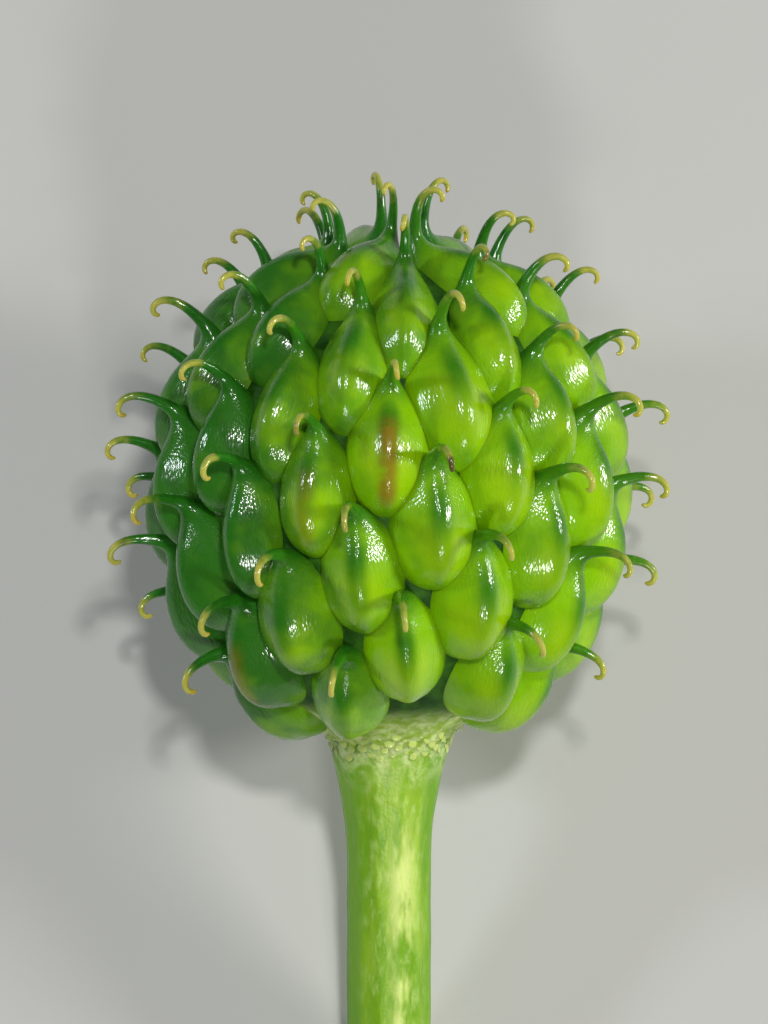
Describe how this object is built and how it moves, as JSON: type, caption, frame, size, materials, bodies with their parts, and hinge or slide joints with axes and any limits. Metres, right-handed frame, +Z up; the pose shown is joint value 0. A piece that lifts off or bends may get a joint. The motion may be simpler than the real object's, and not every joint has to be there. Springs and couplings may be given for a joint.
{
  "type": "buttercup seed head",
  "caption": "Ball of young green achenes, each with a hooked beak, on a short cut stalk with a flared top. It lies on its side.",
  "frame": {"origin": "on the ground, under the middle of the whole part's box", "axes": "+Z up, away from the ground; the stalk lies along Y, with its cut end towards -Y and the head towards +Y; +X across"},
  "size_m": [0.0082, 0.0132, 0.0079],
  "materials": {
    "achene_skin": "glossy, slightly translucent yellow-green skin with dark green keels and straw-coloured beak tips",
    "stalk_skin": "pale green ribbed skin with cream streaks"
  },
  "bodies": {
    "root": {"achene_head": "achene_skin", "stalk": "stalk_skin"}
  },
  "joints": []
}
